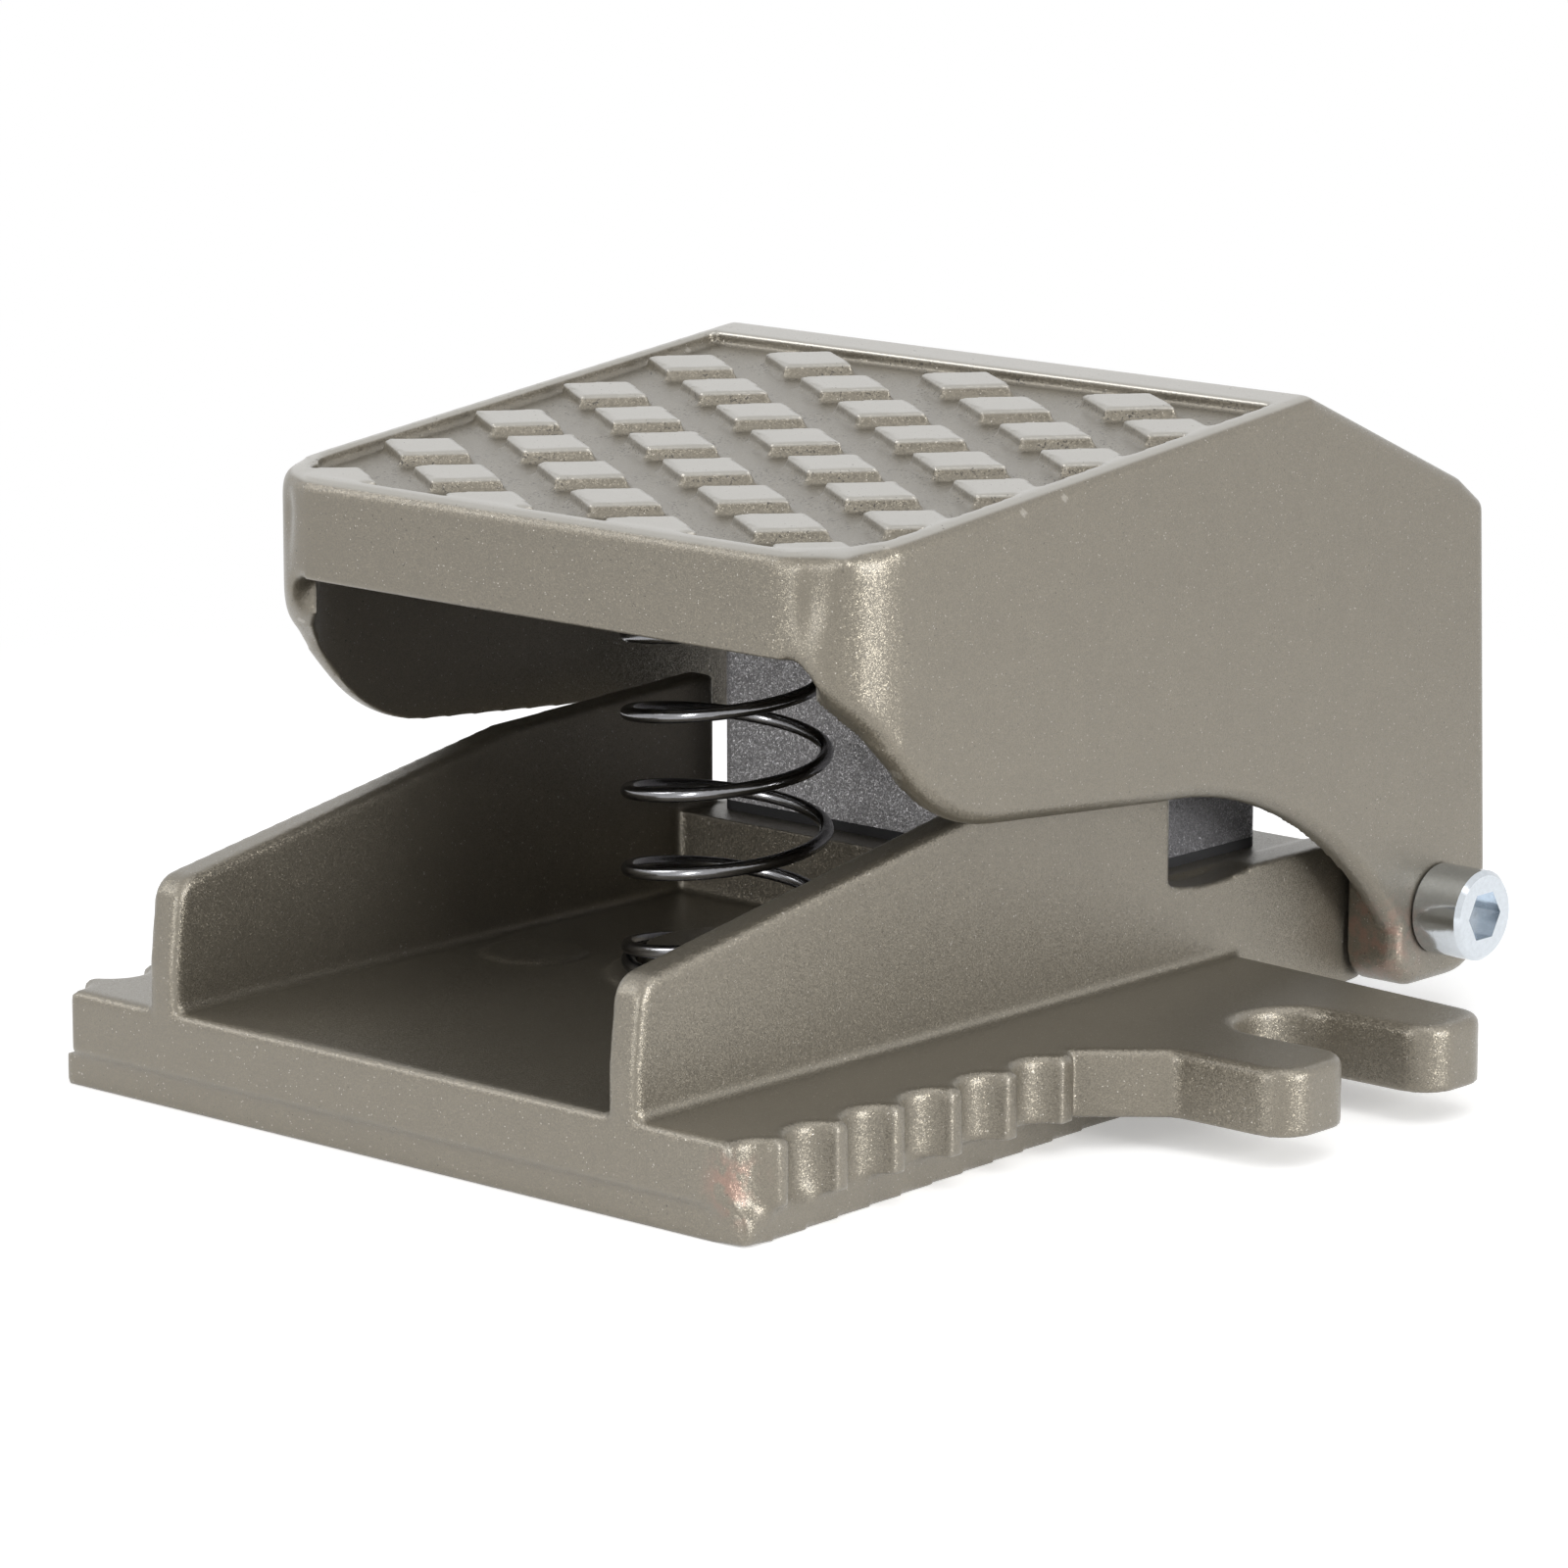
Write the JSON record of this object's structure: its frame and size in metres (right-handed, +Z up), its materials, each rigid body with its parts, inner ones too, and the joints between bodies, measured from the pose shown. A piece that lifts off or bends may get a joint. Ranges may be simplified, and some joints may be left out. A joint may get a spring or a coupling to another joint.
{
  "type": "foot pedal air valve",
  "caption": "Die-cast foot pedal air valve: forked mounting ears, a hinged treadle with a rhombic tread, an open return spring and a spool valve body between the side walls",
  "frame": {"origin": "on the ground, midway between the base's front edge and the treadle's rear edge, on the centre line", "axes": "+X across, along the pivot; +Y from the toe to the heel; +Z up"},
  "size_m": [0.1412, 0.13, 0.0714],
  "materials": {
    "cast": "die-cast, satin metallic paint",
    "body_paint": "speckled dark coating",
    "spring_steel": "dark oiled",
    "zinc_steel": "bright zinc",
    "bright_steel": "ground",
    "black_steel": "black oxide",
    "cap_aluminium": "machined",
    "spool_aluminium": "turned",
    "seal_rubber": "matte"
  },
  "bodies": {
    "frame": {"base": "cast", "body_gasket": "seal_rubber", "valve_body": "body_paint", "body_washers": "zinc_steel", "body_screws": "zinc_steel", "rear_cap_gasket": "seal_rubber", "rear_cap": "cap_aluminium", "rod_seal": "seal_rubber", "rear_cap_screws": "zinc_steel", "pivot_screws": "zinc_steel", "pivot_sleeves": "zinc_steel", "pivot_washers": "zinc_steel", "pivot_locknuts": "zinc_steel", "pedal_return_spring": "spring_steel", "spool_return_spring": "spring_steel"},
    "treadle": {"pedal": "cast", "adjusting_screw": "black_steel", "adjusting_locknut": "zinc_steel"},
    "spool_set": {"spool": "spool_aluminium", "spool_orings": "seal_rubber", "pusher": "bright_steel"}
  },
  "joints": [
    {"name": "treadle_hinge", "type": "hinge", "parent": "frame", "child": "treadle", "pos_m": [0, 0.0557, 0.0122], "axis": [1, 0, 0], "range_deg": [0, 11], "stiffness_Nm_per_rad": 2, "springref_deg": -14.32, "deforming": ["pedal_return_spring"]},
    {"name": "spool_slide", "type": "slide", "parent": "frame", "child": "spool_set", "axis": [0, -1, 0], "range_m": [0, 0.0059], "stiffness_N_per_m": 500, "deforming": ["spool_return_spring"]}
  ],
  "couplings": [
    {"joint": "spool_slide", "follows": "treadle_hinge", "m_per_rad": 0.0305}
  ]
}
